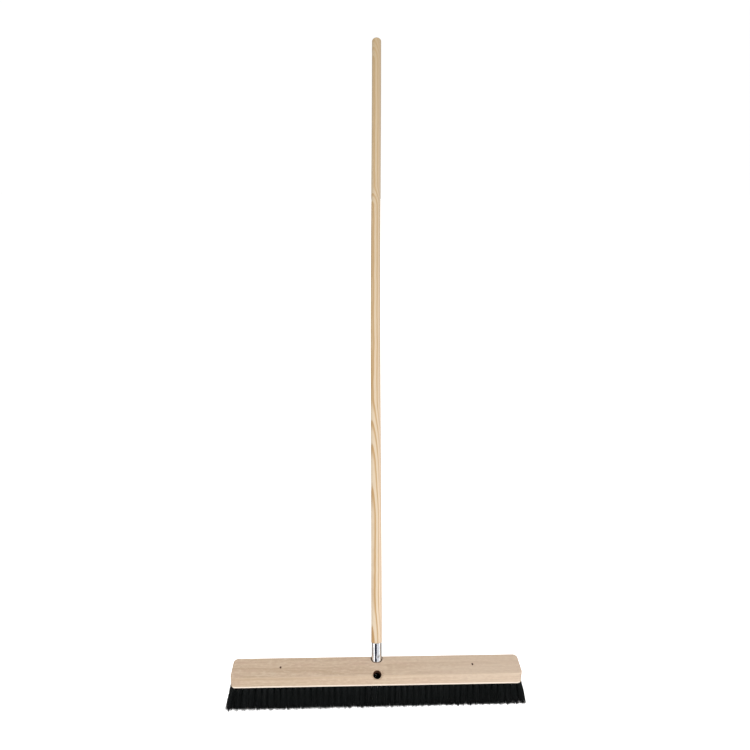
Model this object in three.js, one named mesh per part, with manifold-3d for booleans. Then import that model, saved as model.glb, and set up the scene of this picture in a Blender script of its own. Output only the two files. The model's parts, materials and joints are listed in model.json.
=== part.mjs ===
// A push broom: a wooden block with two slanted handle holes, rows of bristle tufts under it, and a
// wooden handle whose threaded metal ferrule is screwed into the back hole.
// Millimetres, +Z up. X runs along the block and the handle leans towards +Y. The origin is the
// centre of the block's top face, so the bristle tips stand on z = -(BLOCK_THICKNESS + TRIM).

import * as THREE from 'three';
import { mergeVertices } from 'three/addons/utils/BufferGeometryUtils.js';
import Module from 'manifold-3d';

const wasm = await Module();
wasm.setup();

const GAP = 0.3; // left between pieces that touch
const OVERRUN = 5; // how far a cutter runs past the surface it opens

// Block
const BLOCK_LENGTH = 609.6;
const BLOCK_DEPTH = 57.2;
const BLOCK_THICKNESS = 27;
const BLOCK_CORNER_RADIUS = 10; // seen from above
const BLOCK_EDGE_RADIUS = 2.5; // eased edges all round
const PIN_HOLE_X = 203.2; // two small blind holes in the top face, either side of the middle
const PIN_HOLE_RADIUS = 1.5;
const PIN_HOLE_DEPTH = 8;

// Handle holes, one either side of the middle, which run into each other and out underneath
const HOLE_Y = 21.8; // where an axis crosses the top face
const HOLE_ELEVATION = THREE.MathUtils.degToRad(60); // of an axis above the top face
const BACK_HOLE_DRIFT = THREE.MathUtils.degToRad(0.5); // sideways lean of the back hole and the handle
const BORE_RADIUS = 9.8;
const MOUTH_RADIUS = 12.8;
const MOUTH_DEPTH = 6.5; // along the axis, down to the cone that narrows to the bore
const THREAD_PITCH = 5.08;
const THREAD_BEAD_RADIUS = 1.3; // the thread is a round bead on the ferrule and a round groove in the wood
const THREAD_STEPS_PER_TURN = 12;

// Ferrule, measured along the handle's axis from the block's top face
const SLEEVE_RADIUS = 11;
const SLEEVE_WALL = 0.8;
const SLEEVE_TOP = 32;
const SHOULDER_TOP = -1; // where the straight sleeve starts to round in
const SHOULDER_BOTTOM = -9;
const THREAD_CORE_RADIUS = 8;
const THREAD_CREST_RADIUS = BORE_RADIUS - GAP;
const THREAD_TIP = -26;
const TIP_CHAMFER = 1.5;
const CORE_BORE_RADIUS = 6.5; // hollow of the threaded part, which the turned wood fills
const CORE_BORE_BOTTOM = -23;
const NECK_TOP = 1; // the hollow narrows from the sleeve's to the threaded part's
const NECK_BOTTOM = -3;

// Handle
const HANDLE_RADIUS = 11.6;
const HANDLE_TOP = 1502; // the whole handle is 1524 long with what is inside the ferrule
const HANDLE_DOME = 8; // height of the rounded end

// Nail that holds the ferrule on the handle
const NAIL_HEIGHT = 4; // above the top face, along the axis
const NAIL_BEARING = THREE.MathUtils.degToRad(16); // round the axis from the side facing the front hole
const NAIL_HEAD_RADIUS = 1.6;
const NAIL_HEAD_TOP = 10.6; // from the handle's axis
const NAIL_HEAD_BOTTOM = 9.4;
const NAIL_SHANK_RADIUS = 0.8;
const NAIL_POINT = 4.5;

// Bristles
const TRIM = 48; // from the block's underside to the tips
const TUFT_ROWS = 5;
const TUFT_ROW_PITCH = 10.5;
const TUFTS_IN_FIRST_ROW = 48; // every second row is staggered by half a pitch and has one tuft less
const TUFT_PITCH = 12.6;
const SECTIONS_PER_ROW = 4;
const TUFTS_PER_SECTION = 12;
const ROOT_RADIUS = 3.4;
const TIP_HALF_LENGTH = 9.5; // a tuft spreads more along the block, into its neighbours
const TIP_HALF_DEPTH = 6.3;
const DEPTH_SPLAY = 5.5; // how far the outer rows' tips lean out
const END_SPLAY = 11.5; // how far the end tufts' tips lean out
const END_SPLAY_POWER = 7; // the lean grows with this power of the distance from the middle

const UNDERSIDE = -BLOCK_THICKNESS;
const TIPS = UNDERSIDE - TRIM;

// Solids

function solidOf(geometry) {
  const bare = geometry.clone();
  bare.deleteAttribute('normal');
  bare.deleteAttribute('uv');
  const merged = mergeVertices(bare, 1e-4);
  const corners = merged.index.array;
  const triangles = [];
  for (let i = 0; i < corners.length; i += 3) {
    const [a, b, c] = corners.slice(i, i + 3);
    if (a !== b && b !== c && c !== a) triangles.push(a, b, c);
  }
  return new wasm.Manifold(new wasm.Mesh({
    numProp: 3,
    vertProperties: new Float32Array(merged.attributes.position.array),
    triVerts: new Uint32Array(triangles),
  }));
}

function geometryOf(solid) {
  const mesh = solid.getMesh();
  const geometry = new THREE.BufferGeometry();
  geometry.setAttribute('position', new THREE.BufferAttribute(mesh.vertProperties, 3));
  geometry.setIndex(new THREE.BufferAttribute(mesh.triVerts, 1));
  geometry.computeVertexNormals();
  return geometry;
}

function joined(solids) {
  return solids.reduce((whole, piece) => whole.add(piece));
}

// A body of revolution about Y from [radius, height] pairs, listed upwards on the outside.
function turned(profile, segments) {
  return new THREE.LatheGeometry(profile.map(([r, y]) => new THREE.Vector2(r, y)), segments);
}

// Points of a quarter ellipse from its lowest or highest point on the inside to its widest point.
function quarterRound(innerRadius, outerRadius, tipHeight, wideHeight, steps) {
  const points = [];
  for (let i = 0; i <= steps; i += 1) {
    const angle = (i / steps) * (Math.PI / 2);
    points.push([
      innerRadius + (outerRadius - innerRadius) * Math.sin(angle),
      wideHeight + (tipHeight - wideHeight) * Math.cos(angle),
    ]);
  }
  return points;
}

class Helix extends THREE.Curve {
  constructor(radius, bottom, top) {
    super();
    this.radius = radius;
    this.bottom = bottom;
    this.top = top;
  }

  getPoint(t, target = new THREE.Vector3()) {
    const y = this.bottom + (this.top - this.bottom) * t;
    const angle = (2 * Math.PI * y) / THREAD_PITCH;
    return target.set(this.radius * Math.sin(angle), y, this.radius * Math.cos(angle));
  }
}

// A right-hand thread: a round bead wound along a helix about Y.
function threadBead(helixRadius, bottom, top) {
  const section = new THREE.Shape().absarc(0, 0, THREAD_BEAD_RADIUS, 0, 2 * Math.PI);
  const turns = (top - bottom) / THREAD_PITCH;
  return new THREE.ExtrudeGeometry(section, {
    curveSegments: 3,
    steps: Math.round(turns * THREAD_STEPS_PER_TURN),
    extrudePath: new Helix(helixRadius, bottom, top),
  });
}

// A hole's axis, pointing out of its mouth: side is 1 for the back hole and -1 for the front one.
function holeFrame(side, drift) {
  const axis = new THREE.Vector3(
    Math.sin(drift),
    side * Math.cos(HOLE_ELEVATION) * Math.cos(drift),
    Math.sin(HOLE_ELEVATION) * Math.cos(drift),
  );
  const frame = new THREE.Object3D();
  frame.position.set(0, side * HOLE_Y, 0);
  frame.quaternion.setFromUnitVectors(new THREE.Vector3(0, 1, 0), axis);
  frame.updateMatrix();
  return frame;
}

// Block

function handleHoleCutter(frame) {
  const past = -(BLOCK_THICKNESS + BORE_RADIUS) / Math.sin(HOLE_ELEVATION);
  const coneBottom = -MOUTH_DEPTH - (MOUTH_RADIUS - BORE_RADIUS);
  const bore = turned([
    [0, past],
    [BORE_RADIUS, past],
    [BORE_RADIUS, coneBottom],
    [MOUTH_RADIUS, -MOUTH_DEPTH],
    [MOUTH_RADIUS, MOUTH_RADIUS + OVERRUN],
    [0, MOUTH_RADIUS + OVERRUN],
  ], 32);
  const groove = threadBead(BORE_RADIUS, -BLOCK_THICKNESS / Math.sin(HOLE_ELEVATION), coneBottom);
  return solidOf(bore.applyMatrix4(frame.matrix)).add(solidOf(groove.applyMatrix4(frame.matrix)));
}

function pinHoleCutter(x) {
  const length = PIN_HOLE_DEPTH + OVERRUN;
  const cutter = new THREE.CylinderGeometry(PIN_HOLE_RADIUS, PIN_HOLE_RADIUS, length, 12);
  cutter.rotateX(Math.PI / 2);
  cutter.translate(x, 0, OVERRUN - length / 2);
  return solidOf(cutter);
}

function blockGeometry() {
  const x = BLOCK_LENGTH / 2 - BLOCK_EDGE_RADIUS;
  const y = BLOCK_DEPTH / 2 - BLOCK_EDGE_RADIUS;
  const r = BLOCK_CORNER_RADIUS - BLOCK_EDGE_RADIUS;
  const plan = new THREE.Shape();
  plan.absarc(x - r, y - r, r, 0, Math.PI / 2);
  plan.absarc(-x + r, y - r, r, Math.PI / 2, Math.PI);
  plan.absarc(-x + r, -y + r, r, Math.PI, 1.5 * Math.PI);
  plan.absarc(x - r, -y + r, r, 1.5 * Math.PI, 2 * Math.PI);
  const plank = new THREE.ExtrudeGeometry(plan, {
    depth: BLOCK_THICKNESS - 2 * BLOCK_EDGE_RADIUS,
    bevelThickness: BLOCK_EDGE_RADIUS,
    bevelSize: BLOCK_EDGE_RADIUS,
    bevelSegments: 3,
    curveSegments: 3,
  });
  plank.translate(0, 0, BLOCK_EDGE_RADIUS - BLOCK_THICKNESS);
  return geometryOf(solidOf(plank)
    .subtract(handleHoleCutter(holeFrame(1, BACK_HOLE_DRIFT)))
    .subtract(handleHoleCutter(holeFrame(-1, 0)))
    .subtract(pinHoleCutter(-PIN_HOLE_X))
    .subtract(pinHoleCutter(PIN_HOLE_X)));
}

// Handle, ferrule and nail, all along Y before the handle's group turns them into place

// The nail lies along Y here too, from its point to its head.
function nailPlacement() {
  const frame = new THREE.Object3D();
  const outwards = new THREE.Vector3(Math.sin(NAIL_BEARING), 0, Math.cos(NAIL_BEARING));
  frame.position.set(0, NAIL_HEIGHT, 0);
  frame.quaternion.setFromUnitVectors(new THREE.Vector3(0, 1, 0), outwards);
  frame.updateMatrix();
  return frame;
}

function nailGeometry(clearance) {
  const shank = NAIL_SHANK_RADIUS + clearance;
  const head = NAIL_HEAD_RADIUS + clearance;
  const headTop = clearance ? SLEEVE_RADIUS + OVERRUN : NAIL_HEAD_TOP;
  return turned([
    [0, NAIL_POINT - clearance],
    [shank, NAIL_POINT + NAIL_SHANK_RADIUS - clearance],
    [shank, NAIL_HEAD_BOTTOM - clearance],
    [head, NAIL_HEAD_BOTTOM - clearance],
    [head, headTop],
    [0, headTop],
  ], 12);
}

function nailHoleCutter() {
  return solidOf(nailGeometry(GAP).applyMatrix4(nailPlacement().matrix));
}

function ferruleGeometry() {
  const shell = turned([
    [0, THREAD_TIP],
    [THREAD_CORE_RADIUS - TIP_CHAMFER, THREAD_TIP],
    [THREAD_CORE_RADIUS, THREAD_TIP + TIP_CHAMFER],
    ...quarterRound(THREAD_CORE_RADIUS, SLEEVE_RADIUS, SHOULDER_BOTTOM, SHOULDER_TOP, 5),
    [SLEEVE_RADIUS, SLEEVE_TOP],
    [SLEEVE_RADIUS - SLEEVE_WALL, SLEEVE_TOP],
    [SLEEVE_RADIUS - SLEEVE_WALL, NECK_TOP],
    [CORE_BORE_RADIUS, NECK_BOTTOM],
    [CORE_BORE_RADIUS, CORE_BORE_BOTTOM],
    [0, CORE_BORE_BOTTOM],
  ], 32);
  const threadRadius = THREAD_CREST_RADIUS - THREAD_BEAD_RADIUS;
  const thread = threadBead(threadRadius, THREAD_TIP + TIP_CHAMFER, SHOULDER_BOTTOM);
  return geometryOf(solidOf(shell).add(solidOf(thread)).subtract(nailHoleCutter()));
}

function handleGeometry() {
  const dowel = turned([
    [0, CORE_BORE_BOTTOM + GAP],
    [CORE_BORE_RADIUS - GAP, CORE_BORE_BOTTOM + GAP],
    [CORE_BORE_RADIUS - GAP, NECK_BOTTOM + GAP],
    [SLEEVE_RADIUS - SLEEVE_WALL - GAP, NECK_TOP + GAP],
    [SLEEVE_RADIUS - SLEEVE_WALL - GAP, SLEEVE_TOP + GAP],
    [HANDLE_RADIUS, SLEEVE_TOP + GAP],
    ...quarterRound(0, HANDLE_RADIUS, HANDLE_TOP, HANDLE_TOP - HANDLE_DOME, 6).reverse(),
  ], 24);
  return geometryOf(solidOf(dowel).subtract(nailHoleCutter()));
}

// Bristles

function splayOfX(x) {
  const end = ((TUFTS_IN_FIRST_ROW - 1) / 2) * TUFT_PITCH;
  return Math.sign(x) * END_SPLAY * Math.abs(x / end) ** END_SPLAY_POWER;
}

function splayOfY(y) {
  const outermost = ((TUFT_ROWS - 1) / 2) * TUFT_ROW_PITCH;
  return (DEPTH_SPLAY * y) / outermost;
}

// One tuft: round at its root under the block, wider and leaning outwards at its tips.
function tuftSolid(rootX, rootY) {
  const top = UNDERSIDE - GAP;
  const height = top - TIPS;
  const tuft = new THREE.CylinderGeometry(1, 1, height, 6);
  tuft.rotateX(Math.PI / 2);
  const position = tuft.attributes.position;
  for (let i = 0; i < position.count; i += 1) {
    const down = 0.5 - position.getZ(i) / height;
    const halfLength = THREE.MathUtils.lerp(ROOT_RADIUS, TIP_HALF_LENGTH, down);
    const halfDepth = THREE.MathUtils.lerp(ROOT_RADIUS, TIP_HALF_DEPTH, down);
    position.setXYZ(
      i,
      rootX + down * splayOfX(rootX) + position.getX(i) * halfLength,
      rootY + down * splayOfY(rootY) + position.getY(i) * halfDepth,
      top - down * height,
    );
  }
  return solidOf(tuft);
}

// No tuft can be set where the handle holes come out of the underside.
function clearOfHandleHoles(x, y) {
  const exitHalfDepth = BORE_RADIUS / Math.sin(HOLE_ELEVATION);
  const exitY = HOLE_Y - BLOCK_THICKNESS / Math.tan(HOLE_ELEVATION);
  const nearX = Math.abs(x) < BORE_RADIUS + ROOT_RADIUS;
  return !(nearX && Math.abs(y) < exitY + exitHalfDepth);
}

// A quarter of a row: its tufts run together near the tips, and end at the section's borders.
function bristleSectionGeometry(row, section) {
  const y = (row - (TUFT_ROWS - 1) / 2) * TUFT_ROW_PITCH;
  const tuftsInRow = TUFTS_IN_FIRST_ROW - (row % 2);
  const first = section * TUFTS_PER_SECTION;
  const last = Math.min(first + TUFTS_PER_SECTION, tuftsInRow) - 1;
  const tufts = [];
  for (let i = first; i <= last; i += 1) {
    const x = (i - (tuftsInRow - 1) / 2) * TUFT_PITCH;
    if (clearOfHandleHoles(x, y)) tufts.push(tuftSolid(x, y));
  }
  const start = (first - tuftsInRow / 2) * TUFT_PITCH;
  const end = (last + 1 - tuftsInRow / 2) * TUFT_PITCH;
  const left = section === 0 ? start - BLOCK_DEPTH : start + GAP / 2;
  const right = section === SECTIONS_PER_ROW - 1 ? end + BLOCK_DEPTH : end - GAP / 2;
  const cell = new THREE.BoxGeometry(right - left, 2 * BLOCK_DEPTH, 2 * TRIM + 2 * BLOCK_THICKNESS);
  cell.translate((left + right) / 2, 0, TIPS);
  return geometryOf(joined(tufts).intersect(solidOf(cell)));
}

// Materials

const blockWood = new THREE.MeshStandardMaterial({ color: 0xd2bfa4, roughness: 0.75 });
const handleWood = new THREE.MeshStandardMaterial({ color: 0xe3c79c, roughness: 0.6 });
const plating = new THREE.MeshStandardMaterial({ color: 0xd8dade, roughness: 0.15, metalness: 1 });
const nailSteel = new THREE.MeshStandardMaterial({ color: 0x8d8f92, roughness: 0.4, metalness: 1 });
const filament = new THREE.MeshStandardMaterial({ color: 0x15171a, roughness: 0.55 });

// Assembly

function named(name, geometry, material) {
  const mesh = new THREE.Mesh(geometry, material);
  mesh.name = name;
  return mesh;
}

const broom = new THREE.Group();
broom.add(named('block', blockGeometry(), blockWood));

for (let row = 0; row < TUFT_ROWS; row += 1) {
  for (let section = 0; section < SECTIONS_PER_ROW; section += 1) {
    const name = `bristles_row_${row + 1}_section_${section + 1}`;
    broom.add(named(name, bristleSectionGeometry(row, section), filament));
  }
}

const handle = new THREE.Group();
const handleFrame = holeFrame(1, BACK_HOLE_DRIFT);
handle.position.copy(handleFrame.position);
handle.quaternion.copy(handleFrame.quaternion);
handle.add(named('handle', handleGeometry(), handleWood));
handle.add(named('threaded_ferrule', ferruleGeometry(), plating));

const nail = named('ferrule_nail', nailGeometry(0), nailSteel);
const nailFrame = nailPlacement();
nail.position.copy(nailFrame.position);
nail.quaternion.copy(nailFrame.quaternion);
handle.add(nail);
broom.add(handle);

export default broom;
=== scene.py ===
# A push broom: a wooden block with two slanted handle holes, black bristle tufts, and a wooden handle
# screwed into the back hole by a plated ferrule. Metres, +Z up, origin at the centre of the block's top.

import json
import math

import bpy
import numpy as np
from mathutils import Matrix, Vector


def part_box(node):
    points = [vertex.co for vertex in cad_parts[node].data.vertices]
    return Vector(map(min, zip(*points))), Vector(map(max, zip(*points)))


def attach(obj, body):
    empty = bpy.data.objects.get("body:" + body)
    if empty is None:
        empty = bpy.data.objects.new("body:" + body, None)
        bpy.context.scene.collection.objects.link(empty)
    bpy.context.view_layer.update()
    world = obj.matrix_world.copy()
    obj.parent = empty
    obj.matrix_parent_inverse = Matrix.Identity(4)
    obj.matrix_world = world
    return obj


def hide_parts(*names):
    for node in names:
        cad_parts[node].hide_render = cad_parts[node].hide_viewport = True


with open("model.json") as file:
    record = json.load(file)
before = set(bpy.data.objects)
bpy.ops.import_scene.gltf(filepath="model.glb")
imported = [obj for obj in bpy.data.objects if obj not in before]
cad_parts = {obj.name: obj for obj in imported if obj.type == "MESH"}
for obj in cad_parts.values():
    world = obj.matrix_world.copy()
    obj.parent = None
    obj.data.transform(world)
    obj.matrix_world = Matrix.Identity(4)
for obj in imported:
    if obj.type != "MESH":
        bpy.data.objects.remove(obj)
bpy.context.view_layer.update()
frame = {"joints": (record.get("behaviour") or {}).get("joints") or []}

# Block, from its CAD node
BLOCK_LOW, BLOCK_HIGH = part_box("block")
BLOCK_HALF_LENGTH = BLOCK_HIGH.x
BLOCK_HALF_DEPTH = BLOCK_HIGH.y
TOP = BLOCK_HIGH.z
UNDERSIDE = BLOCK_LOW.z
CORNER_RADIUS = 0.010
EDGE_RADIUS = 0.0025
PIN_HOLE_X = BLOCK_HALF_LENGTH * 2 / 3
PIN_HOLE_RADIUS = 0.0015
PIN_HOLE_DEPTH = 0.008

# Handle holes: the back one lies along the joint's axis, and the front one slants the other way
HANDLE_AXIS = Vector(frame["joints"][0]["axis"]).normalized()
HOLE_SLOPE = math.radians(60)
FRONT_HOLE_AXIS = Vector((0, -math.cos(HOLE_SLOPE), math.sin(HOLE_SLOPE)))
HOLE_Y = 0.0218
BORE_RADIUS = 0.0098  # to the crests of the thread cut in the wood
FRONT_BORE_RADIUS = 0.0088
THREAD_DEPTH = 0.0010
MOUTH_RADIUS = 0.0128
MOUTH_DEPTH = 0.0065
FRONT_MOUTH_DEPTH = 0.0040
BACK_MOUTH_SETBACK = 0.0003
THREAD_RUN_IN = 0.003
THREAD_PITCH = 0.00508

# Ferrule, along the handle's axis from the block's top face
SLEEVE_RADIUS = 0.011
SLEEVE_TOP = 0.032
SHOULDER_TOP = -0.004
SHOULDER_BOTTOM = -0.009
THREAD_CORE_RADIUS = 0.0079
THREAD_CREST_RADIUS = 0.0095
THREAD_TIP = -0.026
NAIL_HEIGHT = 0.004
NAIL_BEARING = math.radians(16)
NAIL_HEAD_RADIUS = 0.0016
NAIL_DIMPLE_RADIUS = 0.0026
NAIL_DIMPLE_DEPTH = 0.0009

# Handle
HANDLE_RADIUS = 0.0116
HANDLE_TOP = 1.502
HANDLE_DOME = 0.008
HANDLE_BOW = 0.0026  # sideways, at its middle

# Bristles
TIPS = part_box("bristles_row_1_section_1")[0].z
TUFT_ROWS = 5
TUFT_ROW_PITCH = 0.0105
TUFTS_IN_FIRST_ROW = 48  # every second row is staggered by half a pitch and has one tuft less
TUFT_PITCH = 0.0126
TUFTS_PER_SECTION = 12
TUFT_HOLE_RADIUS = 0.0034
TUFT_HOLE_DEPTH = 0.005
ROOT_DEPTH = 0.9  # of the hole's depth
ROOT_DEPTH_BESIDE_FERRULE = 0.4
DEPTH_SPLAY = 0.0108  # how far the outer rows' tips lean forwards and backwards
UNEVEN_SPLAY = 0.2  # the share by which they lean less at the right end, and more at the left
END_SPLAY = 0.0125
END_SPLAY_POWER = 7
TUFT_SPREAD = (0.0082, 0.0084)  # of a tuft's tips, in x and y
TIP_SCATTER = 0.0011
CLUMP_UNEVENNESS = 0.0006
FILAMENT_UNEVENNESS = 0.0006
FILAMENT_WAVE = 0.00018
FILAMENTS_PER_TUFT = 165
FILAMENT_RADIUS = 0.00030
CLUMPS_PER_TUFT = 5


# ---------------------------------------------------------------- mesh helpers


def new_piece(name, vertices, faces, material, smooth_below=None):
    mesh = bpy.data.meshes.new(name)
    mesh.from_pydata(vertices, [], faces)
    mesh.update()
    piece = bpy.data.objects.new(name, mesh)
    bpy.context.scene.collection.objects.link(piece)
    if material is not None:
        mesh.materials.append(material)
    if smooth_below is not None:
        mesh.shade_smooth()
        mesh.set_sharp_from_angle(angle=math.radians(smooth_below))
    return piece


def ring_faces(rings, around):
    """Quads between neighbouring rings of points, wound so that they face out when rings go up."""
    faces = []
    for i in range(rings - 1):
        low = i * around
        high = low + around
        for j in range(around):
            k = (j + 1) % around
            faces.append((low + j, low + k, high + k, high + j))
    return faces


def turned(profile, around, reach=None):
    """Vertices and faces of a closed body turned about Z from (radius, height) pairs, upwards outside.
    reach(radius, angle, height) may change the radius at each point."""
    vertices = []
    for radius, height in profile:
        for j in range(around):
            angle = 2 * math.pi * j / around
            r = reach(radius, angle, height) if reach else radius
            vertices.append((r * math.cos(angle), r * math.sin(angle), height))
    faces = ring_faces(len(profile), around)
    faces.append(tuple(reversed(range(around))))
    last = (len(profile) - 1) * around
    faces.append(tuple(range(last, last + around)))
    return vertices, faces


def arc(centre_radius, centre_height, radius_r, radius_h, start, end, steps):
    """Points of an elliptical arc in a (radius, height) profile, angles in degrees from outwards."""
    points = []
    for i in range(steps + 1):
        angle = math.radians(start + (end - start) * i / steps)
        radius = centre_radius + radius_r * math.cos(angle)
        points.append((radius, centre_height + radius_h * math.sin(angle)))
    return points


def axis_matrix(axis, y):
    """Places a body made about Z so that Z is the axis and its origin is where that crosses the top face."""
    turn = Vector((0, 0, 1)).rotation_difference(axis).to_matrix().to_4x4()
    return Matrix.Translation((0, y, TOP)) @ turn


def cut(piece, cutters):
    """Takes the cutters' bodies away from the piece, then removes them."""
    for cutter in cutters:
        modifier = piece.modifiers.new("cut", "BOOLEAN")
        modifier.operation = "DIFFERENCE"
        modifier.solver = "EXACT"
        modifier.object = cutter
    bpy.context.view_layer.update()
    graph = bpy.context.evaluated_depsgraph_get()
    result = bpy.data.meshes.new_from_object(piece.evaluated_get(graph), depsgraph=graph)
    piece.modifiers.clear()
    old = piece.data
    piece.data = result
    bpy.data.meshes.remove(old)
    for cutter in cutters:
        mesh = cutter.data
        bpy.data.objects.remove(cutter)
        bpy.data.meshes.remove(mesh)


# ---------------------------------------------------------------- material nodes


class Nodes:
    """A material's node tree, with one short call for each kind of node that the materials use."""

    def __init__(self, name):
        self.material = bpy.data.materials.new(name)
        self.material.use_nodes = True
        self.tree = self.material.node_tree
        self.shader = self.tree.nodes["Principled BSDF"]

    def new(self, kind, **settings):
        node = self.tree.nodes.new(kind)
        for key, value in settings.items():
            setattr(node, key, value)
        return node

    def link(self, value, socket):
        if isinstance(value, bpy.types.NodeSocket):
            self.tree.links.new(value, socket)
        else:
            socket.default_value = value

    def place(self):
        return self.new("ShaderNodeTexCoord").outputs["Object"]

    def mapped(self, vector, scale, shift=(0, 0, 0)):
        node = self.new("ShaderNodeMapping")
        self.link(vector, node.inputs["Vector"])
        node.inputs["Scale"].default_value = scale
        node.inputs["Location"].default_value = shift
        return node.outputs["Vector"]

    def noise(self, vector, detail, roughness=0.5):
        node = self.new("ShaderNodeTexNoise")
        self.link(vector, node.inputs["Vector"])
        node.inputs["Scale"].default_value = 1.0
        node.inputs["Detail"].default_value = detail
        node.inputs["Roughness"].default_value = roughness
        return node.outputs["Fac"]

    def maths(self, operation, a, b=0.0, c=0.0):
        node = self.new("ShaderNodeMath", operation=operation)
        for value, socket in zip((a, b, c), node.inputs):
            self.link(value, socket)
        return node.outputs[0]

    def ramp(self, value, low, high, out_low=0.0, out_high=1.0, smooth=True):
        node = self.new("ShaderNodeMapRange", interpolation_type="SMOOTHSTEP" if smooth else "LINEAR")
        self.link(value, node.inputs["Value"])
        node.inputs["From Min"].default_value = low
        node.inputs["From Max"].default_value = high
        node.inputs["To Min"].default_value = out_low
        node.inputs["To Max"].default_value = out_high
        return node.outputs["Result"]

    def mix(self, factor, a, b):
        node = self.new("ShaderNodeMix", data_type="RGBA")
        self.link(factor, node.inputs["Factor"])
        for value, socket in ((a, node.inputs[6]), (b, node.inputs[7])):
            self.link(value if isinstance(value, bpy.types.NodeSocket) else (*value, 1), socket)
        return node.outputs[2]

    def tint(self, mask, strength, colour, towards):
        """The colour, taken towards another one by the mask times the strength."""
        return self.mix(self.maths("MULTIPLY", mask, strength), colour, towards)

    def parts(self, vector):
        node = self.new("ShaderNodeSeparateXYZ")
        self.link(vector, node.inputs[0])
        return node.outputs

    def joined(self, x, y, z):
        node = self.new("ShaderNodeCombineXYZ")
        for value, socket in zip((x, y, z), node.inputs):
            self.link(value, socket)
        return node.outputs[0]

    def bump(self, height, distance, strength):
        node = self.new("ShaderNodeBump")
        node.inputs["Strength"].default_value = strength
        node.inputs["Distance"].default_value = distance
        self.link(height, node.inputs["Height"])
        return node.outputs["Normal"]

    def shade(self, **sockets):
        for key, value in sockets.items():
            socket = self.shader.inputs[key.replace("_", " ")]
            if not isinstance(value, bpy.types.NodeSocket) and hasattr(value, "__len__"):
                value = (*value, 1)
            self.link(value, socket)
        return self.material


# ---------------------------------------------------------------- camera, light and floor

CAMERA_PLACE = Vector((-0.0551, -1.1345, 1.0421))
CAMERA_PITCH = math.radians(19.01)
CAMERA_YAW = math.radians(2.22)
CAMERA_ROLL = math.radians(0.646)
CAMERA_LENS = 32.05
CARD_DISTANCE = 2.2
CARD_TOP = 2.4
FLOOR_HALF_SIDE = 14


def make_camera():
    data = bpy.data.cameras.new("camera")
    data.lens = CAMERA_LENS
    data.sensor_width = 36
    data.clip_start = 0.05
    data.clip_end = 60
    camera = bpy.data.objects.new("camera", data)
    bpy.context.scene.collection.objects.link(camera)
    turn = (
        Matrix.Rotation(-CAMERA_YAW, 4, "Z")
        @ Matrix.Rotation(math.pi / 2 - CAMERA_PITCH, 4, "X")
        @ Matrix.Rotation(CAMERA_ROLL, 4, "Z")
    )
    camera.matrix_world = Matrix.Translation(CAMERA_PLACE) @ turn
    bpy.context.scene.camera = camera


def area_light(name, place, target, size, power, colour=(1, 1, 1)):
    data = bpy.data.lights.new(name, "AREA")
    data.shape = "RECTANGLE"
    data.size, data.size_y = size
    data.energy = power
    data.color = colour
    light = bpy.data.objects.new(name, data)
    bpy.context.scene.collection.objects.link(light)
    light.location = place
    light.rotation_mode = "QUATERNION"
    light.rotation_quaternion = (Vector(target) - Vector(place)).to_track_quat("-Z", "Y")
    return light


def make_world():
    """Soft surroundings, brightest in front and to the right. The camera sees them as plain white."""
    world = bpy.data.worlds.new("studio")
    bpy.context.scene.world = world
    world.use_nodes = True
    tree = world.node_tree
    tree.nodes.clear()
    output = tree.nodes.new("ShaderNodeOutputWorld")
    seen = tree.nodes.new("ShaderNodeBackground")
    lighting = tree.nodes.new("ShaderNodeBackground")
    mix = tree.nodes.new("ShaderNodeMixShader")
    path = tree.nodes.new("ShaderNodeLightPath")
    direction = tree.nodes.new("ShaderNodeTexCoord")
    towards_key = tree.nodes.new("ShaderNodeVectorMath")
    strength = tree.nodes.new("ShaderNodeMapRange")
    seen.inputs["Color"].default_value = (1, 1, 1, 1)
    seen.inputs["Strength"].default_value = 1.02
    towards_key.operation = "DOT_PRODUCT"
    towards_key.inputs[1].default_value = (0.5, -0.85, 0.1)
    strength.inputs["From Min"].default_value = -0.9
    strength.inputs["From Max"].default_value = 0.9
    strength.inputs["To Min"].default_value = 0.42
    strength.inputs["To Max"].default_value = 0.95
    lighting.inputs["Color"].default_value = (1, 0.99, 0.97, 1)
    tree.links.new(direction.outputs["Generated"], towards_key.inputs[0])
    tree.links.new(towards_key.outputs["Value"], strength.inputs["Value"])
    tree.links.new(strength.outputs["Result"], lighting.inputs["Strength"])
    tree.links.new(path.outputs["Is Camera Ray"], mix.inputs["Fac"])
    tree.links.new(lighting.outputs["Background"], mix.inputs[1])
    tree.links.new(seen.outputs["Background"], mix.inputs[2])
    tree.links.new(mix.outputs["Shader"], output.inputs["Surface"])


def floor_white():
    """White floor, lit from itself too so that it has no far edge, but not where the bristles stand, which
    paints a shadow under them.
    It glows less on the object than it looks to the camera, and reflections show it grey."""
    n = Nodes("floor_white")
    x, y, _ = n.parts(n.place())
    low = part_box("bristles_row_1_section_1")[0]
    beyond_x = n.maths("ADD", n.maths("ABSOLUTE", x), low.x)
    beyond_y = n.maths("ADD", n.maths("ABSOLUTE", y), low.y)
    # Painted shadow: the floor stops glowing under the bristles and fades back in a few millimetres beyond
    # them.
    clear = n.ramp(n.maths("MAXIMUM", beyond_x, beyond_y), -0.001, 0.003)
    rays = n.new("ShaderNodeLightPath").outputs
    mirrored = rays["Is Glossy Ray"]
    glow = n.maths("MULTIPLY_ADD", rays["Is Camera Ray"], 0.67, 0.25)
    glow = n.maths("MULTIPLY", glow, n.maths("SUBTRACT", 1.0, mirrored))
    glow = n.maths("MULTIPLY", glow, clear)
    colour = n.mix(mirrored, (0.80, 0.80, 0.80), (0.42, 0.41, 0.40))
    return n.shade(
        Base_Color=colour,
        Roughness=0.9,
        Specular_IOR_Level=0.0,
        Emission_Color=(1, 1, 1),
        Emission_Strength=glow,
    )


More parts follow.
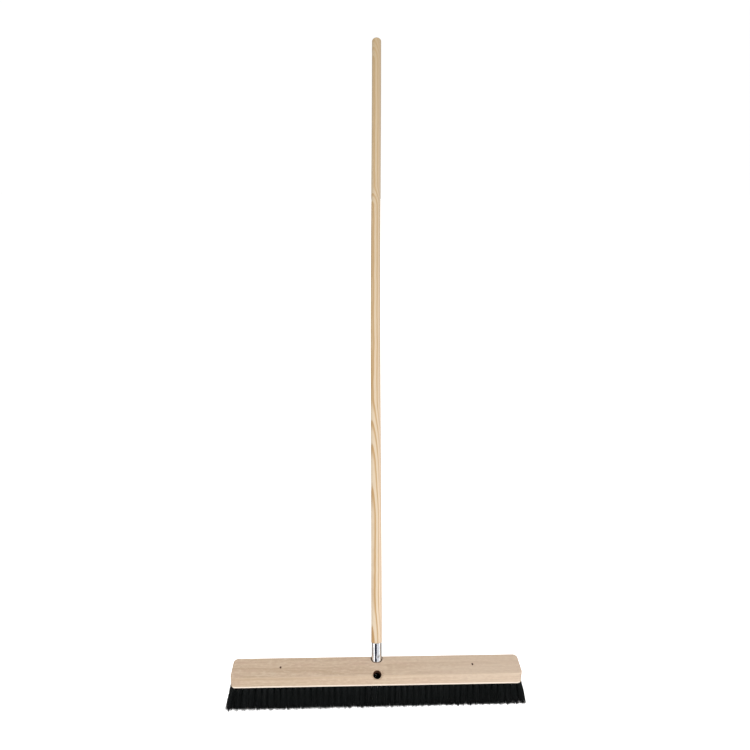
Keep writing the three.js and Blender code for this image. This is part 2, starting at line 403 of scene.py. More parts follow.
def make_floor():
    signs = ((-1, -1), (1, -1), (1, 1), (-1, 1))
    corners = [(FLOOR_HALF_SIDE * sx, FLOOR_HALF_SIDE * sy, TIPS) for sx, sy in signs]
    new_piece("floor", corners, [(0, 1, 2, 3)], floor_white())


def make_card(name, azimuth, width, colour, glow=0.0, tint=(1, 1, 1)):
    """An upright card round the object that only reflections show. Azimuth is in degrees, 0 in front."""
    half = width / 2
    bottom, top = TIPS + 0.02, CARD_TOP
    corners = [(-half, 0, bottom), (half, 0, bottom), (half, 0, top), (-half, 0, top)]
    n = Nodes(name)
    n.shade(
        Base_Color=colour,
        Roughness=1.0,
        Specular_IOR_Level=0.0,
        Emission_Color=tint,
        Emission_Strength=glow,
    )
    card = new_piece(name, corners, [(0, 1, 2, 3)], n.material)
    angle = math.radians(azimuth)
    card.location = (CARD_DISTANCE * math.sin(angle), -CARD_DISTANCE * math.cos(angle), 0)
    card.rotation_euler = (0, 0, angle)
    card.visible_camera = False
    card.visible_diffuse = False
    card.visible_shadow = False
    card.visible_transmission = False


def make_studio():
    bpy.context.scene.view_settings.view_transform = "Standard"
    make_camera()
    make_world()
    make_floor()
    make_card("dark_card", -18, 1.80, (0.004, 0.006, 0.030))
    make_card("pale_card", 32, 2.0, (0.2, 0.2, 0.2), glow=0.62, tint=(0.93, 0.95, 1.0))
    make_card("left_white_card", -68, 1.6, (0.5, 0.5, 0.5), glow=1.1)
    make_card("right_white_card", 78, 1.5, (0.5, 0.5, 0.5), glow=1.2)
    warm = (1, 0.985, 0.96)
    front_light = area_light("front_light", (0.9, -2.3, 0.55), (0, 0, 0.1), (1.6, 1.0), 9, warm)
    front_light.visible_glossy = False
    area_light("top_light", (-0.8, -0.9, 2.4), (0, 0.1, 0), (1.4, 1.4), 15)
    area_light("front_flash", (-0.05, -1.5, 1.25), (0, 0, 0), (0.3, 0.3), 2.2)


# ---------------------------------------------------------------- the object's materials


def block_wood():
    """Pale close-grained hardwood, sanded and not varnished, with its grain along X."""
    n = Nodes("block_hardwood")
    place = n.place()
    x, y, z = n.parts(place)

    # Growth rings, cut almost flat, that wander a little along the plank.
    wander = n.noise(n.mapped(place, scale=(2.6, 12, 12)), detail=3, roughness=0.55)
    ring_height = n.maths("MULTIPLY_ADD", n.maths("SUBTRACT", wander, 0.5), 0.03, z)
    ring_phase = n.maths("MULTIPLY_ADD", y, 0.35, ring_height)
    ring_place = n.joined(n.maths("MULTIPLY", x, 0.8), 0.0, n.maths("MULTIPLY", ring_phase, 360))
    rings = n.noise(ring_place, detail=2)
    ring_mask = n.ramp(rings, 0.40, 0.62)

    fibres = n.noise(n.mapped(place, scale=(14, 900, 900)), detail=4, roughness=0.62)
    fibre_mask = n.ramp(fibres, 0.35, 0.68)
    flecks = n.noise(n.mapped(place, scale=(110, 1300, 1300), shift=(3, 7, 1)), detail=1)
    fleck_mask = n.ramp(flecks, 0.64, 0.74)
    blotches = n.noise(n.mapped(place, scale=(11, 42, 42), shift=(5, 0, 2)), detail=4, roughness=0.62)
    pink_mask = n.ramp(blotches, 0.46, 0.68)
    pale_mask = n.ramp(blotches, 0.44, 0.30)
    bands = n.noise(n.mapped(place, scale=(2.2, 130, 130), shift=(0, 4, 9)), detail=3)
    band_mask = n.ramp(bands, 0.42, 0.66)

    colour = n.mix(ring_mask, (0.675, 0.525, 0.39), (0.56, 0.42, 0.295))
    colour = n.tint(pink_mask, 0.75, colour, (0.60, 0.43, 0.325))
    colour = n.tint(pale_mask, 0.6, colour, (0.70, 0.585, 0.455))
    colour = n.tint(band_mask, 0.5, colour, (0.73, 0.585, 0.45))
    colour = n.tint(fibre_mask, 0.32, colour, (0.50, 0.355, 0.24))
    colour = n.tint(fleck_mask, 0.55, colour, (0.40, 0.26, 0.165))

    # Mottled all over, and paler towards the right: painted light falling from the right.
    mottles = n.noise(n.mapped(place, scale=(95, 210, 210), shift=(1, 6, 3)), detail=3, roughness=0.6)
    colour = n.mix(n.ramp(mottles, 0.50, 0.66, 0.0, 0.38), colour, (0.50, 0.36, 0.26))
    colour = n.mix(n.ramp(mottles, 0.48, 0.34, 0.0, 0.38), colour, (0.76, 0.635, 0.50))
    # Painted light: paler towards the right.
    colour = n.mix(n.ramp(x, -0.15, 0.30, 0.0, 0.45), colour, (0.72, 0.585, 0.47))

    # The eased edges are rubbed paler.
    on_long_side = n.ramp(n.maths("ABSOLUTE", y), BLOCK_HALF_DEPTH - 0.003, BLOCK_HALF_DEPTH - 0.0008)
    from_middle = n.maths("ABSOLUTE", n.maths("SUBTRACT", z, (TOP + UNDERSIDE) / 2))
    half_thickness = (TOP - UNDERSIDE) / 2
    beyond_z = n.ramp(from_middle, half_thickness - 0.003, half_thickness - 0.0008)
    rubbed = n.maths("MULTIPLY", on_long_side, beyond_z)
    rubbed = n.maths("MULTIPLY", rubbed, n.ramp(blotches, 0.25, 0.6, 0.1, 0.4))
    colour = n.mix(rubbed, colour, (0.78, 0.66, 0.52))

    # The long sides are browner to the left, a painted shade as if the light came from the right, with a tan
    # band under the top edge and a pale one at the bottom, a painted highlight of light from the white
    # floor. The ends are darker: painted shade on their rounded corners.
    # Painted shade: the long sides darken towards the left end.
    left = n.maths("MULTIPLY", on_long_side, n.ramp(x, 0.05, -0.28, 0.0, 0.32))
    colour = n.mix(left, colour, (0.50, 0.38, 0.27))
    slanted = n.maths("MULTIPLY_ADD", x, -0.012, z)
    tan_band = n.maths("MULTIPLY", on_long_side, n.ramp(slanted, -0.0060, -0.0010))
    colour = n.tint(tan_band, 0.55, colour, (0.52, 0.385, 0.265))
    # Painted highlight: a pale band along the bottom of the long sides, for the light the eased edge catches
    # from the white floor.
    floor_lit_band = n.maths("MULTIPLY", on_long_side, n.ramp(z, UNDERSIDE + 0.0056, UNDERSIDE + 0.0040))
    colour = n.tint(floor_lit_band, 0.95, colour, (0.98, 0.86, 0.74))
    # Painted shade: the ends and their rounded corners are darker.
    end = n.ramp(n.maths("ABSOLUTE", x), BLOCK_HALF_LENGTH - 0.0022, BLOCK_HALF_LENGTH - 0.0002)
    colour = n.tint(end, 0.5, colour, (0.45, 0.32, 0.21))

    # Painted shade darkens the rims of the two pin holes.
    from_pin = n.maths("SUBTRACT", n.maths("ABSOLUTE", x), PIN_HOLE_X)
    across_squared = n.maths("MULTIPLY", n.maths("MULTIPLY", y, y), 0.4)
    squares = n.maths("MULTIPLY_ADD", from_pin, from_pin, across_squared)
    pin_hole_shade = n.ramp(n.maths("SQRT", squares), 0.0024, 0.0017)
    colour = n.tint(pin_hole_shade, 0.95, colour, (0.05, 0.028, 0.015))

    roughness = n.ramp(fibres, 0.3, 0.7, 0.58, 0.74, smooth=False)
    height = n.maths("MULTIPLY_ADD", fibre_mask, -0.6, n.maths("MULTIPLY", ring_mask, -0.4))
    height = n.maths("MULTIPLY_ADD", fleck_mask, -1.2, height)
    normal = n.bump(height, 0.00012, 0.8)
    return n.shade(Base_Color=colour, Roughness=roughness, Normal=normal, Specular_IOR_Level=0.28)


def bored_wood():
    """The same wood inside a drilled hole: end grain scorched a reddish brown and burnished by the thread,
    its darkness partly the wood's own and partly painted shade of the hole.
    It is almost black towards the back, in the back hole round the ferrule: painted shade."""
    n = Nodes("bored_wood")
    place = n.place()
    torn = n.noise(n.mapped(place, scale=(500, 900, 900)), detail=4, roughness=0.65)
    torn_mask = n.ramp(torn, 0.3, 0.7)
    scorch = n.noise(n.mapped(place, scale=(160, 160, 160), shift=(0, 3, 6)), detail=2)
    colour = n.mix(torn_mask, (0.26, 0.10, 0.045), (0.11, 0.042, 0.02))
    colour = n.mix(n.ramp(scorch, 0.45, 0.75, 0.0, 0.6), colour, (0.06, 0.03, 0.018))
    # Painted shade: near black towards the back, in the back hole round the ferrule.
    back_hole_shade = n.ramp(n.parts(place)[1], 0.004, 0.012, 0.0, 0.8)
    colour = n.mix(back_hole_shade, colour, (0.02, 0.012, 0.008))
    normal = n.bump(torn, 0.0001, 0.5)
    return n.shade(
        Base_Color=colour,
        Roughness=0.7,
        Normal=normal,
        Specular_IOR_Level=0.3,
        Coat_Weight=1.0,
        Coat_Roughness=0.28,
        Coat_IOR=1.8,
    )


def handle_wood():
    """Softwood with golden latewood lines, flat-sawn on its left side, under a satin lacquer."""
    n = Nodes("handle_softwood")
    place = n.place()
    x, y, z = n.parts(place)

    def along(rate, seed):
        noise = n.noise(n.joined(seed, 0.0, n.maths("MULTIPLY", z, rate)), detail=2)
        return n.maths("SUBTRACT", noise, 0.5)

    def runs_out(runout, start, end, distance):
        return n.maths("ADD", runout, n.ramp(z, start, end, 0.0, distance))

    # The rings lie across a line that points to the front left, so they show there as arcs wherever the
    # grain runs out of the dowel, and as lines along it elsewhere.
    runout = n.ramp(z, 0.03, 0.13, 0.0, 0.005)
    runout = runs_out(runout, 0.280, 0.450, 0.0067)
    runout = runs_out(runout, 0.405, 0.575, 0.0158)
    runout = runs_out(runout, 1.035, 1.090, 0.0113)
    runout = runs_out(runout, 1.430, 1.510, 0.0160)
    drift = n.maths("MULTIPLY_ADD", along(4.5, 3.1), 0.0028, n.maths("MULTIPLY", along(24.0, 6.2), 0.0016))
    warp = n.noise(n.mapped(place, scale=(90, 90, 9)), detail=2)
    across = n.maths("MULTIPLY_ADD", y, 0.6, n.maths("MULTIPLY", x, 0.8))
    ring = n.maths("ADD", across, n.maths("ADD", runout, drift))
    ring = n.maths("MULTIPLY_ADD", n.maths("SUBTRACT", warp, 0.5), 0.0016, ring)
    first_ring, ring_spacing = 0.0551, 0.0065
    phase = n.maths("FRACT", n.maths("DIVIDE", n.maths("ADD", ring, first_ring), ring_spacing))
    latewood = n.maths("MULTIPLY", n.ramp(phase, 0.38, 0.80), n.ramp(phase, 1.0, 0.88))
    right = n.ramp(across, -0.008, 0.005)
    latewood = n.maths("MULTIPLY", latewood, n.maths("MULTIPLY_ADD", right, -0.75, 1.0))

    fibres = n.noise(n.mapped(place, scale=(1400, 1400, 14)), detail=3, roughness=0.6)
    fibre_mask = n.ramp(fibres, 0.36, 0.68)
    stripes = n.noise(n.mapped(place, scale=(420, 420, 2.4), shift=(2, 5, 0)), detail=2)
    grey_mask = n.ramp(stripes, 0.52, 0.66)
    rosy_mask = n.ramp(stripes, 0.46, 0.32)
    # Painted shade: the handle darker and browner towards its top, for light that falls off up its length.
    painted_shade_up_handle = n.ramp(z, 0.1, HANDLE_TOP, 0.0, 1.0, smooth=False)

    colour = n.mix(right, (0.77, 0.64, 0.475), (0.90, 0.71, 0.535))
    colour = n.tint(grey_mask, 0.5, colour, (0.70, 0.575, 0.42))
    colour = n.tint(rosy_mask, 0.5, colour, (0.86, 0.66, 0.50))
    colour = n.tint(latewood, 0.9, colour, (0.50, 0.28, 0.10))
    colour = n.tint(fibre_mask, 0.14, colour, (0.52, 0.35, 0.19))
    colour = n.tint(painted_shade_up_handle, 0.8, colour, (0.45, 0.33, 0.185))

    # Handling has dulled the lacquer in patches.
    handled = n.noise(n.mapped(place, scale=(30, 30, 5), shift=(1, 1, 4)), detail=3)
    roughness = n.ramp(handled, 0.3, 0.7, 0.40, 0.56, smooth=False)
    relief = n.maths("MULTIPLY_ADD", fibre_mask, -0.5, n.maths("MULTIPLY", latewood, 0.6))
    normal = n.bump(relief, 0.00008, 0.7)
    return n.shade(
        Base_Color=colour,
        Roughness=roughness,
        Normal=normal,
        Specular_IOR_Level=0.35,
        Coat_Weight=0.12,
        Coat_Roughness=0.35,
    )


def bright_plating():
    """Bright zinc plating on drawn steel: mirror-like, with faint draw lines, rub marks and clouding."""
    n = Nodes("bright_zinc")
    place = n.place()
    draw_lines = n.noise(n.mapped(place, scale=(1500, 1500, 25)), detail=2)
    clouds = n.noise(n.mapped(place, scale=(190, 190, 120)), detail=3, roughness=0.6)
    scratches = n.noise(n.mapped(place, scale=(500, 500, 3000), shift=(8, 2, 0)), detail=1)
    scratch_mask = n.ramp(scratches, 0.68, 0.76)
    colour = n.mix(n.ramp(clouds, 0.35, 0.7), (0.88, 0.89, 0.91), (0.78, 0.79, 0.82))
    colour = n.tint(scratch_mask, 0.3, colour, (0.62, 0.62, 0.64))
    roughness = n.maths("MULTIPLY_ADD", n.ramp(clouds, 0.3, 0.75), 0.07, 0.04)
    roughness = n.maths("MULTIPLY_ADD", scratch_mask, 0.15, roughness)
    height = n.maths("MULTIPLY_ADD", clouds, 0.9, n.maths("MULTIPLY", draw_lines, 0.12))
    normal = n.bump(height, 0.00022, 0.6)
    return n.shade(Base_Color=colour, Metallic=1.0, Roughness=roughness, Normal=normal)


def nail_steel():
    """Plain steel, hammered and a little dull."""
    n = Nodes("hammered_steel")
    place = n.place()
    marks = n.noise(n.mapped(place, scale=(900, 900, 900)), detail=3)
    colour = n.mix(n.ramp(marks, 0.35, 0.7), (0.40, 0.40, 0.41), (0.24, 0.23, 0.23))
    roughness = n.ramp(marks, 0.3, 0.7, 0.28, 0.5, smooth=False)
    normal = n.bump(marks, 0.00015, 0.7)
    return n.shade(Base_Color=colour, Metallic=1.0, Roughness=roughness, Normal=normal)


def bristle_filament():
    """Black filament with a soft sheen: each one has its own tone, and the tips are dusty and rougher."""
    n = Nodes("black_filament")
    tone = n.new("ShaderNodeAttribute", attribute_name="tone").outputs["Fac"]
    place = n.place()
    colour = n.mix(tone, (0.0068, 0.0084, 0.0086), (0.0190, 0.0216, 0.0222))
    tip = n.ramp(n.parts(place)[2], TIPS + 0.012, TIPS)
    colour = n.tint(tip, 0.35, colour, (0.010, 0.0095, 0.009))
    streaks = n.noise(n.mapped(place, scale=(2500, 2500, 90)), detail=2)
    streaked = n.ramp(streaks, 0.3, 0.7, 0.42, 0.58, smooth=False)
    roughness = n.maths("MULTIPLY_ADD", tone, 0.12, streaked)
    normal = n.bump(streaks, 0.00005, 0.5)
    return n.shade(Base_Color=colour, Roughness=roughness, Normal=normal, Specular_IOR_Level=0.12)


# ---------------------------------------------------------------- block


def rounded_outline(half_x, half_y, radius, steps):
    """A rectangle with round corners, anticlockwise."""
    points = []
    for corner, (sx, sy) in enumerate(((1, 1), (-1, 1), (-1, -1), (1, -1))):
        for i in range(steps + 1):
            angle = math.radians(90 * (corner + i / steps))
            px = sx * (half_x - radius) + radius * math.cos(angle)
            points.append((px, sy * (half_y - radius) + radius * math.sin(angle)))
    return points


def plank(material):
    """The block before it is drilled: round corners, and a quarter round along every edge."""
    edge_steps, corner_steps = 6, 12
    rings = []
    for i in range(edge_steps + 1):
        angle = math.radians(90 * i / edge_steps)
        low = UNDERSIDE + EDGE_RADIUS * (1 - math.cos(angle))
        rings.append((EDGE_RADIUS * (1 - math.sin(angle)), low))
    for i in range(edge_steps + 1):
        angle = math.radians(90 * i / edge_steps)
        high = TOP - EDGE_RADIUS * (1 - math.sin(angle))
        rings.append((EDGE_RADIUS * (1 - math.cos(angle)), high))
    vertices = []
    for inset, height in rings:
        outline = rounded_outline(
            BLOCK_HALF_LENGTH - inset, BLOCK_HALF_DEPTH - inset, CORNER_RADIUS - inset, corner_steps
        )
        vertices += [(px, py, height) for px, py in outline]
    around = 4 * (corner_steps + 1)
    faces = ring_faces(len(rings), around)
    faces.append(tuple(reversed(range(around))))
    faces.append(tuple(range(len(vertices) - around, len(vertices))))
    return new_piece("wooden_block", vertices, faces, material)


def thread_offset(angle, height, depth):
    """How far a thread stands out at a point: rounded crests, flat roots, right-handed."""
    phase = (height / THREAD_PITCH - angle / (2 * math.pi)) % 1.0
    return depth * max(0.0, math.cos(2 * math.pi * (phase - 0.5))) ** 0.8


def fade(value, start, end):
    """0 at the start, 1 at the end, and smooth between."""
    t = min(1.0, max(0.0, (value - start) / (end - start)))
    return t * t * (3 - 2 * t)


def handle_hole_cutter(axis, y, crest_radius, mouth_depth, setback):
    """A threaded bore with a wider plain mouth, right through the block. The mouth is drilled off the
    bore's centre by the setback."""
    bottom = -(TOP - UNDERSIDE + 1.2 * BORE_RADIUS) / axis.z
    cone_bottom = -mouth_depth - (MOUTH_RADIUS - crest_radius)
    steps = 110

    def reach(radius, angle, height):
        if height > cone_bottom - 1e-9 or height < bottom + 1e-9:
            return radius
        strength = fade(height, cone_bottom, cone_bottom - THREAD_RUN_IN)
        return radius + strength * thread_offset(angle, height, THREAD_DEPTH)

    length = cone_bottom - bottom
    profile = [(crest_radius, bottom + length * i / steps) for i in range(steps + 1)]
    profile += [(MOUTH_RADIUS, -mouth_depth), (MOUTH_RADIUS, MOUTH_RADIUS + 0.004)]
    vertices, faces = turned(profile, 72, reach)
    mouth = -mouth_depth - 1e-6
    vertices = [(vx, vy + (setback if vz > mouth else 0), vz) for vx, vy, vz in vertices]
    cutter = new_piece("handle_hole_cutter", vertices, faces, None)
    cutter.matrix_world = axis_matrix(axis, y)
    return cutter


def pin_hole_cutter(x):
    profile = [(0.0002, TOP - PIN_HOLE_DEPTH - 0.001), (PIN_HOLE_RADIUS, TOP - PIN_HOLE_DEPTH)]
    profile += [(PIN_HOLE_RADIUS, TOP - 0.0004), (PIN_HOLE_RADIUS + 0.0006, TOP + 0.0004)]
    profile += [(PIN_HOLE_RADIUS + 0.0006, TOP + 0.003)]
    vertices, faces = turned(profile, 24)
    cutter = new_piece("pin_hole_cutter", vertices, faces, None)
    cutter.location = (x, 0, 0)
    return cutter


def tuft_places():
    """(row, section, x, y) of each tuft's root, leaving out those where the handle holes come through."""
    exit_half_depth = BORE_RADIUS / HANDLE_AXIS.z
    exit_y = HOLE_Y - (TOP - UNDERSIDE) * HANDLE_AXIS.y / HANDLE_AXIS.z
    for row in range(TUFT_ROWS):
        y = (row - (TUFT_ROWS - 1) / 2) * TUFT_ROW_PITCH
        tufts_in_row = TUFTS_IN_FIRST_ROW - row % 2
        for i in range(tufts_in_row):
            x = (i - (tufts_in_row - 1) / 2) * TUFT_PITCH
            near_x = abs(x) < BORE_RADIUS + TUFT_HOLE_RADIUS
            if not (near_x and abs(y) < exit_y + exit_half_depth):
                yield row, i // TUFTS_PER_SECTION, x, y


def tuft_hole_cutter():
    """All the tuft holes in the underside as one set of short round plugs."""
    vertices, faces = [], []
    profile = [
        (TUFT_HOLE_RADIUS + 0.0003, UNDERSIDE - 0.002),
        (TUFT_HOLE_RADIUS + 0.0003, UNDERSIDE),
        (TUFT_HOLE_RADIUS, UNDERSIDE + 0.0004),
        (TUFT_HOLE_RADIUS, UNDERSIDE + TUFT_HOLE_DEPTH),
    ]
    plug_vertices, plug_faces = turned(profile, 16)
    for _, _, x, y in tuft_places():
        first = len(vertices)
        vertices += [(vx + x, vy + y, vz) for vx, vy, vz in plug_vertices]
        faces += [tuple(first + k for k in face) for face in plug_faces]
    return new_piece("tuft_hole_cutter", vertices, faces, None)


def show_bored_walls(block):
    """Gives the walls of the drilled holes their own darker material, also the back hole's wide mouth, as
    painted shade round the sleeve, except at the front of that mouth, which keeps the block's paler wood."""
    block.data.materials.append(bored_wood())
    holes = [(Vector((0, HOLE_Y, TOP)), HANDLE_AXIS, MOUTH_RADIUS + BACK_MOUTH_SETBACK)]
    holes.append((Vector((0, -HOLE_Y, TOP)), FRONT_HOLE_AXIS, FRONT_BORE_RADIUS + THREAD_DEPTH))
    up = Vector((0, 0, 1))
    holes += [(Vector((x, 0, TOP)), up, PIN_HOLE_RADIUS + 0.0004) for x in (-PIN_HOLE_X, PIN_HOLE_X)]
    for face in block.data.polygons:
        corners = [block.data.vertices[v].co for v in face.vertices]
        lowest, highest = min(c.z for c in corners), max(c.z for c in corners)
        if highest - lowest < 0.0001 and face.center.z > TOP - 0.0001:
            continue
        in_tuft_hole = all(
            c.z < UNDERSIDE + TUFT_HOLE_DEPTH + 0.0005
            and abs(c.y) < BLOCK_HALF_DEPTH - EDGE_RADIUS
            and abs(c.x) < BLOCK_HALF_LENGTH - EDGE_RADIUS
            for c in corners
        )
        if in_tuft_hole and highest > UNDERSIDE + 0.0001:
            face.material_index = 1
        for start, axis, radius in holes:
            offsets = [(c - start) - (c - start).dot(axis) * axis for c in corners]
            in_hole = all(offset.length < radius + 0.0003 for offset in offsets)
            in_front = sum(offset.y for offset in offsets) / len(offsets) < -0.6 * MOUTH_RADIUS
            if in_hole and not (axis == HANDLE_AXIS and in_front):
                face.material_index = 1


def make_block():
    block = plank(block_wood())
    cut(
        block,
        [
            handle_hole_cutter(HANDLE_AXIS, HOLE_Y, BORE_RADIUS, MOUTH_DEPTH, BACK_MOUTH_SETBACK),
            handle_hole_cutter(FRONT_HOLE_AXIS, -HOLE_Y, FRONT_BORE_RADIUS, FRONT_MOUTH_DEPTH, 0.0),
            pin_hole_cutter(-PIN_HOLE_X),
            pin_hole_cutter(PIN_HOLE_X),
            tuft_hole_cutter(),
        ],
    )
    show_bored_walls(block)
    block.data.shade_smooth()
    block.data.set_sharp_from_angle(angle=math.radians(32))
    block.modifiers.new("flat_faces", "WEIGHTED_NORMAL").keep_sharp = True
    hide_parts("block")
    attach(block, "head")


# ---------------------------------------------------------------- handle, ferrule and nail


def make_handle():
    """The dowel: turned down inside the sleeve, a small shoulder above it, and a domed far end."""
    bottom, shoulder, ease = THREAD_TIP + 0.0035, SLEEVE_TOP + 0.0004, 0.0007
    inner = SLEEVE_RADIUS - 0.0012
    core = 0.0062
    profile = [(0.0055, bottom), (core, bottom + 0.0007), (core, -0.003), (inner, 0.001), (inner, shoulder)]
    profile += arc(HANDLE_RADIUS - ease, shoulder + ease, ease, ease, -90, 0, 4)
    length = HANDLE_TOP - HANDLE_DOME
    start, steps = shoulder + ease, 60
    profile += [(HANDLE_RADIUS, start + (length - start) * i / steps) for i in range(1, steps + 1)]
    profile += arc(0, length, HANDLE_RADIUS, HANDLE_DOME, 3, 88, 18)

    def reach(radius, angle, height):
        """A machined dowel is never quite true: it is a few hundredths out of round, and varies along."""
        if height < shoulder:
            return radius
        out = 0.00007 * math.sin(2 * angle + 5 * height) + 0.00008 * math.sin(9 * height + 1)
        return radius + out * min(1.0, radius / HANDLE_RADIUS)

    def bow(height):
        return HANDLE_BOW * math.sin(math.pi * fade(height, shoulder, HANDLE_TOP))

    vertices, faces = turned(profile, 72, reach)
    bowed = [(x - bow(z), y, z) for x, y, z in vertices]
    handle = new_piece("handle_dowel", bowed, faces, handle_wood(), smooth_below=40)
    handle.matrix_world = axis_matrix(HANDLE_AXIS, HOLE_Y)
    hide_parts("handle")
    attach(handle, "handle")


def nail_angle():
    """The nail's direction round the axis in the ferrule's own frame, NAIL_BEARING from facing the front."""
    turn = axis_matrix(HANDLE_AXIS, HOLE_Y).to_3x3().inverted()
    front = turn @ Vector((0, -1, 0))
    return math.atan2(front.y, front.x) + NAIL_BEARING


def make_ferrule():
    """The plated ferrule: a straight sleeve with a rolled lip, a round shoulder, and the thread below."""
    lip = 0.0004
    profile = [(0.0045, THREAD_TIP), (THREAD_CORE_RADIUS - 0.001, THREAD_TIP + 0.0002)]
    profile += [(THREAD_CORE_RADIUS, THREAD_TIP + 0.0014)]
    steps = 96
    first, last = THREAD_TIP + 0.0014, SHOULDER_BOTTOM
    profile += [(THREAD_CORE_RADIUS, first + (last - first) * i / steps) for i in range(1, steps + 1)]
    width = SLEEVE_RADIUS - THREAD_CORE_RADIUS
    profile += arc(THREAD_CORE_RADIUS, SHOULDER_TOP, width, SHOULDER_TOP - SHOULDER_BOTTOM, -84, 0, 14)
    length, steps = SLEEVE_TOP - lip - SHOULDER_TOP, 40
    profile += [(SLEEVE_RADIUS, SHOULDER_TOP + length * i / steps) for i in range(1, steps + 1)]
    profile += arc(SLEEVE_RADIUS - lip, SLEEVE_TOP - lip, lip, lip, 20, 170, 6)
    profile += [(SLEEVE_RADIUS - 2 * lip, SLEEVE_TOP - 0.002), (SLEEVE_RADIUS - 0.001, SLEEVE_TOP - 0.004)]
    thread_height = THREAD_CREST_RADIUS - THREAD_CORE_RADIUS
    nail_at = nail_angle()

    def reach(radius, angle, height):
        strength = fade(height, first, first + THREAD_RUN_IN) * fade(height, last, last - 0.002)
        out = radius + strength * thread_offset(angle, height, thread_height)
        if radius > SLEEVE_RADIUS - lip / 2:
            around = (angle - nail_at + math.pi) % (2 * math.pi) - math.pi
            away = math.hypot(around * SLEEVE_RADIUS, height - NAIL_HEIGHT) / NAIL_DIMPLE_RADIUS
            out -= NAIL_DIMPLE_DEPTH * math.exp(-away * away)
            out += 0.00006 * math.sin(3 * angle + 90 * height) * fade(height, 0.0, 0.01)
        return out

    vertices, faces = turned(profile, 144, reach)
    ferrule = new_piece("plated_ferrule", vertices, faces, bright_plating(), smooth_below=50)
    ferrule.matrix_world = axis_matrix(HANDLE_AXIS, HOLE_Y)
    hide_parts("threaded_ferrule")
    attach(ferrule, "handle")


def make_nail():
    """The nail through the sleeve: its low domed head sits in the dimple that driving it made."""
    shank_radius, head_height, head_base = 0.0008, 0.0008, 0.0099
    profile = [(0.0001, 0.0045), (shank_radius, 0.0058), (shank_radius, head_base - 0.0003)]
    profile += [(NAIL_HEAD_RADIUS, head_base)]
    profile += arc(0, head_base, NAIL_HEAD_RADIUS, head_height, 0, 85, 8)
    vertices, faces = turned(profile, 32)
    nail = new_piece("ferrule_nail_head", vertices, faces, nail_steel(), smooth_below=50)
    angle = nail_angle()
    outwards = Vector((math.cos(angle), math.sin(angle), 0))
    lay = Matrix.Translation((0, 0, NAIL_HEIGHT)) @ outwards.to_track_quat("Z", "Y").to_matrix().to_4x4()
    nail.matrix_world = axis_matrix(HANDLE_AXIS, HOLE_Y) @ lay
    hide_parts("ferrule_nail")
    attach(nail, "handle")


# ---------------------------------------------------------------- bristles


def splay(row, x, y):
    """How far a tuft's tips lean from straight under its root. The shorter rows lean out further at
    their ends, so that all the rows' tips end together."""
    end = (TUFTS_IN_FIRST_ROW - 1) / 2 * TUFT_PITCH
    shortfall = row % 2 * TUFT_PITCH / 2
    outermost = (TUFT_ROWS - 1) / 2 * TUFT_ROW_PITCH
    lean_out = (END_SPLAY + shortfall) * abs(x / (end - shortfall)) ** END_SPLAY_POWER
    return (
        math.copysign(lean_out, x),
        DEPTH_SPLAY * (1 - UNEVEN_SPLAY * x / end) * y / outermost,
    )


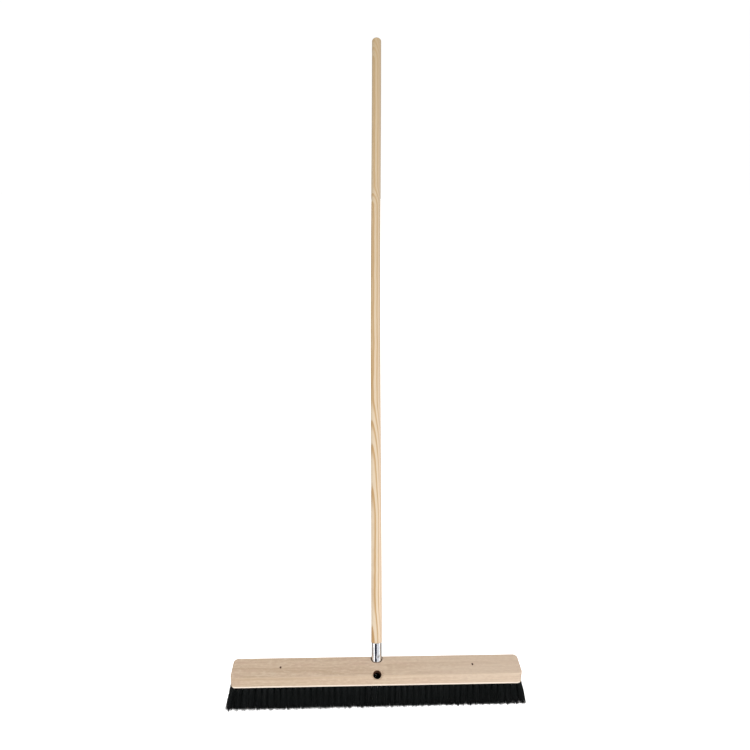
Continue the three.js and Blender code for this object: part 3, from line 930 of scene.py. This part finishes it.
def filaments(roots, leans, random):
    """Vertices, faces and tones of one thin three-sided filament for each root, bowed and unevenly cut."""
    count, steps, sides = len(roots), 5, 3
    spread_angle = random.uniform(0, 2 * math.pi, count)
    spread = np.sqrt(random.uniform(0, 1, count))
    packed = (TUFT_HOLE_RADIUS - 0.0004) * spread
    out = np.stack([np.cos(spread_angle), np.sin(spread_angle)], 1)
    top = np.zeros((count, 3))
    top[:, :2] = roots + out * packed[:, None]
    beside_ferrule = (np.abs(roots[:, 0]) < BORE_RADIUS) & (roots[:, 1] > 0)
    root_depth = np.where(beside_ferrule, ROOT_DEPTH_BESIDE_FERRULE, ROOT_DEPTH)
    top[:, 2] = UNDERSIDE + TUFT_HOLE_DEPTH * root_depth
    tip = np.zeros((count, 3))
    tip_reach = spread[:, None] * np.array(TUFT_SPREAD)
    tip[:, :2] = roots + leans + out * tip_reach + random.normal(0, TIP_SCATTER, (count, 2))
    tuft = np.arange(count) // FILAMENTS_PER_TUFT
    clump = (spread_angle * CLUMPS_PER_TUFT / (2 * math.pi)).astype(int) + CLUMPS_PER_TUFT * tuft
    uneven = random.gamma(1.2, CLUMP_UNEVENNESS, CLUMPS_PER_TUFT * (tuft[-1] + 1))[clump]
    tip[:, 2] = TIPS + uneven + np.abs(random.normal(0, FILAMENT_UNEVENNESS, count)) + 0.0002
    bow = np.zeros((count, 3))
    bow[:, :2] = random.normal(0, 0.0007, (count, 2)) - out * 0.0006
    t = np.linspace(0, 1, steps + 1)
    ease = t**0.5
    line = top[:, None, :] * (1 - ease)[None, :, None] + tip[:, None, :] * ease[None, :, None]
    line[:, :, 2] = top[:, None, 2] * (1 - t)[None, :] + tip[:, None, 2] * t[None, :]
    line += bow[:, None, :] * (4 * t * (1 - t))[None, :, None]
    wave = random.normal(0, FILAMENT_WAVE, line.shape) * np.array([1, 1, 0])
    line += wave * (t > 0)[None, :, None]
    corner = 2 * math.pi * np.arange(sides) / sides
    turn = random.uniform(0, 2 * math.pi, count)[:, None] + corner[None, :]
    taper = np.linspace(1, 0.8, steps + 1)
    thickness = FILAMENT_RADIUS * random.uniform(0.8, 1.2, count)[:, None] * taper[None, :]
    ring = np.stack([np.cos(turn), np.sin(turn), np.zeros_like(turn)], 2)
    points = line[:, :, None, :] + thickness[:, :, None, None] * ring[:, None, :, :]
    per = (steps + 1) * sides
    strip = [(b, a, d, c) for a, b, c, d in ring_faces(steps + 1, sides)]
    caps = [(0, 1, 2), (per - 1, per - 2, per - 3)]
    faces = []
    for i in range(count):
        first = i * per
        faces += [tuple(first + v for v in face) for face in strip + caps]
    tones = np.repeat(random.uniform(0, 1, count) ** 2, per)
    return points.reshape(-1, 3), faces, tones


def make_bristles():
    material = bristle_filament()
    for row in range(TUFT_ROWS):
        for section in range(TUFTS_IN_FIRST_ROW // TUFTS_PER_SECTION):
            tufts = [(x, y) for r, s, x, y in tuft_places() if (r, s) == (row, section)]
            random = np.random.default_rng(100 * row + section + 1)
            roots = np.repeat(np.array(tufts), FILAMENTS_PER_TUFT, axis=0)
            leans = np.array([splay(row, x, y) for x, y in tufts])
            leans = np.repeat(leans, FILAMENTS_PER_TUFT, axis=0)
            vertices, faces, tones = filaments(roots, leans, random)
            name = f"row_{row + 1}_section_{section + 1}"
            piece = new_piece(f"filaments_{name}", vertices.tolist(), faces, material)
            piece.data.shade_smooth()
            tone = piece.data.attributes.new("tone", "FLOAT", "POINT")
            tone.data.foreach_set("value", tones.astype(np.float32))
            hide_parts(f"bristles_{name}")
            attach(piece, "head")


make_studio()
make_block()
make_handle()
make_ferrule()
make_nail()
make_bristles()
